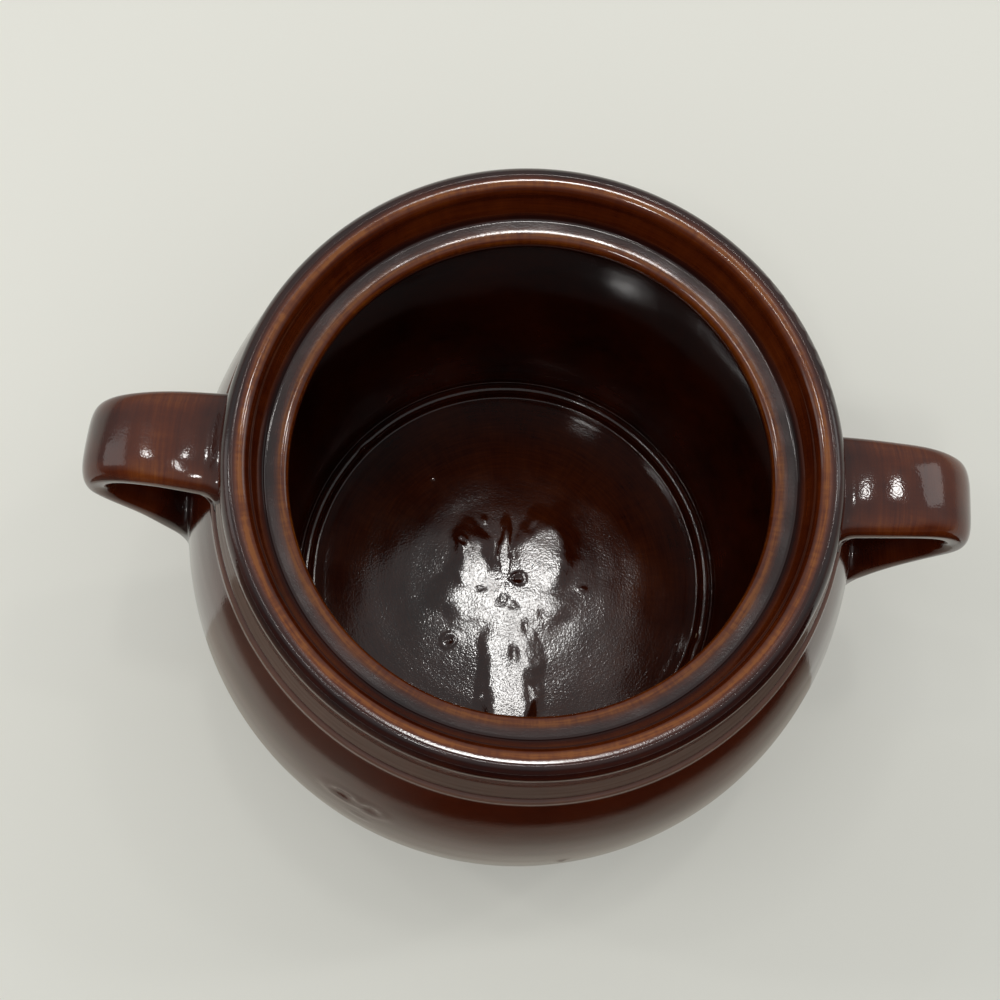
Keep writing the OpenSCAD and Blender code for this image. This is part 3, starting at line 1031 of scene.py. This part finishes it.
def footSlab(top):
    s, own = pot, clayShape
    ring, height, bevel = s["footRadius"], s["footHeight"], s["footBevel"]
    hollow = ring - s["footRing"]
    foot = [(0.0, s["footHollow"])]
    for key, corner in (("hollowCorner", (hollow, s["footHollow"])), ("innerEdge", (hollow, 0.0)),
                        ("outerEdge", (ring, 0.0))):
        foot += [moved(corner, (out * bevel, up * bevel)) for out, up in own[key]]
    foot += [(ring + out, height * up) for out, up in own["side"]]
    foot.append((s["bellyFoot"] - s["coat"], height))
    under = [p for p in insetLine(outsideLine(), s["coat"]) if p[1] < top]
    line = evenLine(foot, gapZones["foot"]) + under
    skins = [float((r < hollow - bevel or z > own["marksAbove"]) and z < top - own["marksUnderTop"])
             for r, z in line] + [0.0, 0.0]
    line += [(line[-1][0], top), (0.0, top)]
    return clayPiece("foot_slab", "base_slab", line, own["footMarks"], skins, own["footSteps"])


def cornerBead():
    wallEnd = [p for p in insideLine() if p[1] > pot["floorHeight"] + pot["floorRound"]][-1]
    loop = arcPoints(beadCentre(wallEnd), (clayShape["beadRadius"],) * 2, *potArcs["beadClay"])
    return clayPiece("floor_corner_bead", "floor_bead", loop, clayShape["plainMarks"])


strapShape = {
    "width": 22.0,
    "thick": 8.5,
    "square": 0.62,
    "upperSpread": 2.5,
    "lowerSpread": 4.5,
    "swell": 1.4,
    "rootShare": 0.42,
    "reachHeight": 128.5,
    "lowRoot": 96.0,
    # the middle line: how far its ends go into the wall, and the pulls along it, from the upper root down
    "upperEnd": (-5, 1),
    "upperPull": (-13, 7),
    "reachPulls": (-2.5, -9.5),
    "lowerPull": (6, 18),
    "lowerEnd": (-7.5, -11),
    "sides": 72,
    "rings": 96,
    "hitSteps": 60,
    "hitHalvings": 20,
    # each root's blend: where its search for the wall starts and stops, and how far it runs along the
    # strap and along the wall, on its outer, inner, front and back side
    "blend": 10,
    "upper": {"from": (0.7, 0.0), "way": 1, "along": (4.6, 5.0, 4.0, 3.2), "wall": (0.5, 3.6, 3.2, 1.0),
              "dip": 1.0},
    "lower": {"from": (1.3, 2.0), "way": -1, "along": (9.0, 5.0, 7.0, 7.0), "wall": (5.0, 5.0, 2.6, 2.6),
              "dip": 0.0},
    "walkStep": 0.004,
    "lookStep": 0.01,                  # how far on and back the strap's direction is read
    "slopeStep": 0.5,                  # and how far up and down the wall's slope
    "landing": 0.12,                   # how far under the wall's glaze a blend ends
    "tuck": ((0.5, 0.7), (0.2, 2.2)),  # the edge behind it: along the wall and into it
    # slow unevenness from pulling the strap by hand
    "workDepth": 0.35,
    "workSize": 17.0,
    "workShift": (13.0, 7.0, 3.0),
}

# each handle's side, its turn round the pot in degrees, how far out it reaches, and its unevenness
strapSides = {
    "left": {"sign": -1, "turn": 2.3, "reach": 113.9, "seed": 3.0},
    "right": {"sign": 1, "turn": 1.0, "reach": 115.3, "seed": 8.0},
}

# the glaze on a strap: thin along its corners and where it ran off just clear of the roots, pooled at them
strapGlaze = {
    "cornerWidth": 0.45,
    "corner": 0.17,
    "runOff": 0.22,
    "runOffPlace": 1.75,  # counted in lengths of a root
    "runOffWidth": 0.55,
    "topEnd": 0.45,
    "elsewhere": 0.3,
    "pooled": 0.8,
    "pooledFall": 0.8,
    "length": 0.11,
}

wallRadii, wallHeights = zip(*outsideLine())


def wallRadius(height):
    return float(numpy.interp(height, wallHeights, wallRadii))


def strapMiddle(t, reach):
    # the middle of the strap at t, from 0 inside the neck, by 1 at the reach, to 2 inside the belly
    s = strapShape
    outX = reach - s["thick"] / 2
    lowAngle = math.asin((s["lowRoot"] - pot["bellyHeight"]) / pot["shoulderRise"])
    lowWall = (pot["roundStart"] + pot["bellyRun"] * math.cos(lowAngle), s["lowRoot"])
    farthest, step = (outX, s["reachHeight"]), pot["stepHeight"]
    if t < 1:
        return cubicPoint(moved((pot["neck"], step), s["upperEnd"]), moved((outX, step), s["upperPull"]),
                          (outX, step + s["reachPulls"][0]), farthest, t)
    return cubicPoint(farthest, moved(farthest, (0, s["reachPulls"][1])), moved(lowWall, s["lowerPull"]),
                      moved(lowWall, s["lowerEnd"]), t - 1)


def strapPoint(t, angle, reach):
    s = strapShape
    here = strapMiddle(t, reach)
    ahead = strapMiddle(min(t + s["lookStep"], 2), reach)
    behind = strapMiddle(max(t - s["lookStep"], 0), reach)
    run = math.dist(ahead, behind)
    along = ((ahead[0] - behind[0]) / run, (ahead[1] - behind[1]) / run)
    root = max(0.0, 1 - min(t, 2 - t) / (2 * s["rootShare"])) ** 2
    spread = s["upperSpread"] if t < 1 else s["lowerSpread"]
    c, d = math.cos(angle), math.sin(angle)
    y = (s["width"] / 2 + spread * root) * math.copysign(abs(c) ** s["square"], c)
    out = (s["thick"] / 2 + s["swell"] * root) * math.copysign(abs(d) ** s["square"], d)
    return Vector((here[0] - along[1] * out, y, here[1] + along[0] * out))


def inWall(t, angle, reach):
    p = strapPoint(t, angle, reach)
    return math.hypot(p.x, p.y) - wallRadius(p.z) < 0


def strapHits(angle, reach, start, stop):
    # where a line along the strap meets the wall, looking from start towards stop
    count = strapShape["hitSteps"]
    outside = start
    for i in range(1, count + 1):
        inside = start + (stop - start) * i / count
        if inWall(inside, angle, reach):
            for _ in range(strapShape["hitHalvings"]):
                middle = (outside + inside) / 2
                if inWall(middle, angle, reach):
                    inside = middle
                else:
                    outside = middle
            return outside
        outside = inside
    return stop


def onWall(p, sink):
    # the point moved straight in or out to the wall, and sunk below it
    k = (wallRadius(p.z) - sink) / math.hypot(p.x, p.y)
    return Vector((p.x * k, p.y * k, p.z))


def byAngle(values, angle):
    # a value between those for the strap's outer, inner, front and back side
    c, d = math.cos(angle), math.sin(angle)
    long = values[0] if d > 0 else values[1]
    short = values[2] if c < 0 else values[3]
    return long * d * d + short * c * c


def rootBlend(angle, reach, root):
    # a concave sweep from the strap down to the wall, then just under the glaze
    s = strapShape
    hit = strapHits(angle, reach, *root["from"])
    t, walked = hit, 0.0
    foot = strapPoint(hit, angle, reach)
    last = foot
    while walked < byAngle(root["along"], angle):
        t += s["walkStep"] * root["way"]
        here = strapPoint(t, angle, reach)
        walked += (here - last).length
        last = here
    middle = strapMiddle(hit, reach)
    out = foot - Vector((middle[0], 0, middle[1]))
    wallNormal = Vector((foot.x, foot.y, 0)).normalized()
    climb = wallRadius(foot.z + s["slopeStep"]) - wallRadius(foot.z - s["slopeStep"])
    wallNormal = (wallNormal - Vector((0, 0, climb / (2 * s["slopeStep"])))).normalized()
    out = (out - wallNormal * out.dot(wallNormal)).normalized()
    landing = onWall(foot + out * byAngle(root["wall"], angle), s["landing"])
    pull = foot - Vector((0, 0, root["dip"] * max(0.0, math.sin(angle))))
    points = []
    for i in range(s["blend"] + 1):
        k = i / s["blend"]
        points.append(last * (1 - k) ** 2 + pull * 2 * k * (1 - k) + landing * k * k)
    return t, points + [onWall(landing + out * run, sink) for run, sink in s["tuck"]]


def strapLine(angle, reach):
    # along the strap, from under the glaze at its upper root to under it at the lower one
    s = strapShape
    upper, upperPoints = rootBlend(angle, reach, s["upper"])
    lower, lowerPoints = rootBlend(angle, reach, s["lower"])
    step = (lower - upper) / s["rings"]
    middle = [strapPoint(upper + step * i, angle, reach) for i in range(1, s["rings"])]
    return upperPoints[::-1] + middle + lowerPoints


def strapLayers(angles, total):
    # the glaze's thickness at each point of each line
    s = strapGlaze
    ends = strapShape["blend"] + 1 + len(strapShape["tuck"])
    layers = {"thin": [], "pooled": [], "along": []}
    for angle in angles:
        corner = s["corner"] * math.exp(-((abs(math.tan(angle)) ** 0.5 - 1) / s["cornerWidth"]) ** 2)
        for i in range(total):
            inner = min(i, total - 1 - i) / ends
            runOff = s["runOff"] * math.exp(-((inner - s["runOffPlace"]) / s["runOffWidth"]) ** 2)
            onTop = 1.0 if i < total * s["topEnd"] and math.sin(angle) > 0 else s["elsewhere"]
            layers["thin"].append((corner * min(1.0, inner ** 2) + runOff) * onTop)
            layers["pooled"].append(s["pooled"] * max(0.0, 1 - inner * s["pooledFall"]))
            layers["along"].append(i / total * s["length"])
    return layers


def tidyNormals(mesh):
    shape = bmesh.new()
    shape.from_mesh(mesh)
    bmesh.ops.recalc_face_normals(shape, faces=shape.faces)
    shape.to_mesh(mesh)
    shape.free()


def handWork(mesh, seed):
    s = strapShape
    shift = Vector(s["workShift"]) * seed
    places = meshPoints(mesh)
    moves = numpy.array([noise.noise_vector(Vector(p) / (s["workSize"] * mm) + shift) for p in places])
    setPoints(mesh, places + moves * s["workDepth"] * mm)


def strapHandle(side, node):
    own, sides = strapSides[side], strapShape["sides"]
    reach = own["reach"] / (1 - warpShape["neckSqueeze"])
    angles = [2 * math.pi * (k + 0.5) / sides for k in range(sides)]
    lines = [strapLine(angle, reach) for angle in angles]
    count = len(lines[0])
    starts = [k * count for k in range(sides)]
    faces = [(here + i, here + i + 1, there + i + 1, there + i)
             for here, there in zip(starts, starts[1:] + [0]) for i in range(count - 1)]
    faces += [starts[::-1], [start + count - 1 for start in starts]]
    mesh = bpy.data.meshes.new(side + "_handle")
    mesh.from_pydata([p * mm for line in lines for p in line], [], faces)
    addLayers(mesh, strapLayers(angles, count))
    mesh.transform(Matrix.Rotation(math.radians(own["turn"]), 4, "Z"))
    if own["sign"] < 0:
        mesh.transform(Matrix.Scale(-1, 4, (1, 0, 0)))
    mesh.polygons.foreach_set("use_smooth", [True] * len(mesh.polygons))
    mesh.update()
    tidyNormals(mesh)
    handWork(mesh, own["seed"])
    mesh.materials.append(handleFinish)
    piece = addObject(side + "_handle", mesh)
    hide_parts(node)
    return piece


wheelTree = turningTree()
outsideFinish, insideFinish, handleFinish = (glaze(name) for name in glazeKinds)
clayFinish, slipFinish = (clay(name) for name in clayKinds)
print("finishes made")

coats = [outsideCoat(), insideCoat()]
print("coats turned:", [len(c.data.polygons) for c in coats])
clays = clayPieces()
print("clay turned:", [len(c.data.polygons) for c in clays])
handles = [strapHandle("left", "handle_left"), strapHandle("right", "handle_right")]
print("handles pulled:", [len(h.data.polygons) for h in handles])

for piece in coats + clays + handles:
    warpPiece(piece)
    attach(piece, "root")

for nodeName in ("slip_left_upper", "slip_left_lower", "slip_right_upper", "slip_right_lower"):
    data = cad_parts[nodeName].data
    data.materials.clear()
    data.materials.append(slipFinish)

studio = {
    "cameraPlace": (-17.9, -97.8, 504.2),
    "cameraTurn": (14.104, -2.385, 2.8),  # degrees
    "lens": 54.0,
    "sensor": 36.0,
    "skyTop": (0.62, 0.622, 0.62),
    "skyLow": (0.40, 0.39, 0.38),
    "skyRise": (0.02, 0.55),
    # the dark front shows in the glaze, and lights nothing
    "skyFront": (0.10, 0.09, 0.085),
    "frontBlend": (0.05, -0.45),
    "frontTop": (0.85, 0.45),
    "lampColour": (1, 0.985, 0.96),
    # each lamp: direction round the pot, height above the horizon, distance, size and brightness
    "lamps": {
        "key": (76.5, 80.3, 1520, (60, 90), 50.0),
        "backLeftHigh": (148, 72, 1500, (60, 60), 36.0),
        "backLeftLow": (165, 52, 1500, (60, 110), 34.0),
        "backRightHigh": (38, 70, 1500, (60, 60), 40.0),
        "backRightLow": (23, 57, 1500, (60, 110), 34.0),
        "leftStrip": (190, 71.5, 1500, (420, 22), 48.0),
        "frontLeft": (-116, 68, 1500, (90, 90), 50.0),
        "windowLeft": (175, 26, 1300, (460, 560), 1.1),
        "windowRight": (21, 33, 1300, (320, 440), 1.6),
    },
}


def addCamera():
    data = bpy.data.cameras.new("camera")
    data.lens = studio["lens"]
    data.sensor_width = studio["sensor"]
    camera = addObject("camera", data)
    camera.location = Vector(studio["cameraPlace"]) * mm
    camera.rotation_euler = [math.radians(a) for a in studio["cameraTurn"]]
    bpy.context.scene.camera = camera


def addLamp(name, turn, rise, distance, size, brightness):
    data = bpy.data.lights.new(name, "AREA")
    data.shape = "RECTANGLE"
    data.size, data.size_y = (v * mm for v in size)
    data.energy = brightness * math.pi * data.size * data.size_y
    data.color = studio["lampColour"]
    turn, rise = math.radians(turn), math.radians(rise)
    way = Vector((math.cos(turn) * math.cos(rise), math.sin(turn) * math.cos(rise), math.sin(rise)))
    lamp = addObject(name, data)
    lamp.location = way * distance * mm
    lamp.rotation_euler = way.to_track_quat("Z", "Y").to_euler()


def addSky():
    s = studio
    world = bpy.data.worlds.new("sky")
    world.use_nodes = True
    world.node_tree.nodes.clear()
    bench = Bench(world.node_tree)
    way = bench.add("ShaderNodeTexCoord", output=0)
    front, height = bench.axis(way, 1), bench.axis(way, 2)
    colour = bench.mixed(bench.mapped(height, *s["skyRise"], smooth=True), s["skyLow"], s["skyTop"])
    dark = bench.mapped(front, *s["frontBlend"], smooth=True)
    dark = dark * bench.mapped(height, *s["frontTop"], smooth=True)
    glossy = bench.add("ShaderNodeLightPath", output=3)
    colour = bench.mixed(dark * glossy, colour, s["skyFront"])
    background = bench.add("ShaderNodeBackground", None, {"Color": colour, "Strength": 1.0})
    bench.add("ShaderNodeOutputWorld", None, {"Surface": background})
    bpy.context.scene.world = world


tableLook = {
    "half": 3.0,
    "bright": (0.88, 0.88, 0.81),
    # painted shade: the table's colour darkens towards the front right
    "shaded": (0.75, 0.755, 0.70),
    "shadeWay": (0.5, -0.87, 0),  # it darkens towards the front right, between these distances
    "shadeBlend": (-0.20, 0.32),
    "roughness": 0.7,
}


def addTable():
    s, half = tableLook, tableLook["half"]
    mesh = bpy.data.meshes.new("table")
    spots = [(x * half, y * half, 0) for x, y in ((-1, -1), (1, -1), (1, 1), (-1, 1))]
    mesh.from_pydata(spots, [], [(0, 1, 2, 3)])
    table = addObject("table", mesh)
    material, bench = newMaterial("table")
    across = bench.number("DOT_PRODUCT", bench.place(), s["shadeWay"])
    colour = bench.mixed(bench.mapped(across, *s["shadeBlend"], smooth=True), s["bright"], s["shaded"])
    finishMaterial(bench, "ShaderNodeBsdfPrincipled", {"Base Color": colour, "Roughness": s["roughness"]})
    mesh.materials.append(material)


# a card that only reflections see: a strip of table low in front with painted shade, darker further out and
# less so on the left, and a dark upright beyond it

cardLook = {
    "near": (0.66, 0.63, 0.55),
    "far": (0.22, 0.19, 0.155),
    "dark": (0.02, 0.018, 0.016),
    "darkLeft": (0.30, 0.265, 0.235),
    "inner": 98,
    "reach": 190,
    "high": 150,
    "turns": (-166, -16),
    "steps": 24,
    "lift": 0.4,
    "shadeStart": 105 * mm,
    "leftBlend": (-30 * mm, -120 * mm),
    "leftShare": 0.75,
    "foldBlend": (1 * mm, 6 * mm),
}


def addCard():
    s = cardLook
    start, end = s["turns"]
    turns = [math.radians(start + (end - start) * i / s["steps"]) for i in range(s["steps"] + 1)]
    rows = ((s["inner"], s["lift"]), (s["reach"], s["lift"]), (s["reach"], s["high"]))
    spots = [(r * mm * math.cos(a), r * mm * math.sin(a), z * mm) for a in turns for r, z in rows]
    faces = [(here, here + 3, here + 4, here + 1) for i in range(s["steps"]) for here in (3 * i, 3 * i + 1)]
    mesh = bpy.data.meshes.new("card")
    mesh.from_pydata(spots, [], faces)
    card = addObject("card", mesh)
    card.visible_camera = card.visible_diffuse = card.visible_shadow = False
    material, bench = newMaterial("card")
    place = bench.place()
    away = bench.mapped(bench.number("LENGTH", place), s["shadeStart"], s["reach"] * mm)
    left = bench.mapped(bench.axis(place, 0), *s["leftBlend"], smooth=True)
    # painted shade: the strip darkens away from the pot, less on the left
    strip = bench.mixed(away * (1.0 - left * s["leftShare"]), s["near"], s["far"])
    upright = bench.mixed(left, s["dark"], s["darkLeft"])
    colour = bench.mixed(bench.mapped(bench.axis(place, 2), *s["foldBlend"]), strip, upright)
    finishMaterial(bench, "ShaderNodeBsdfDiffuse", {"Color": colour})
    mesh.materials.append(material)


addCamera()
addSky()
addTable()
addCard()
for lampName, settings in studio["lamps"].items():
    addLamp(lampName, *settings)
bpy.context.scene.view_settings.view_transform = "Standard"
print("studio lit:", len(studio["lamps"]), "lamps")
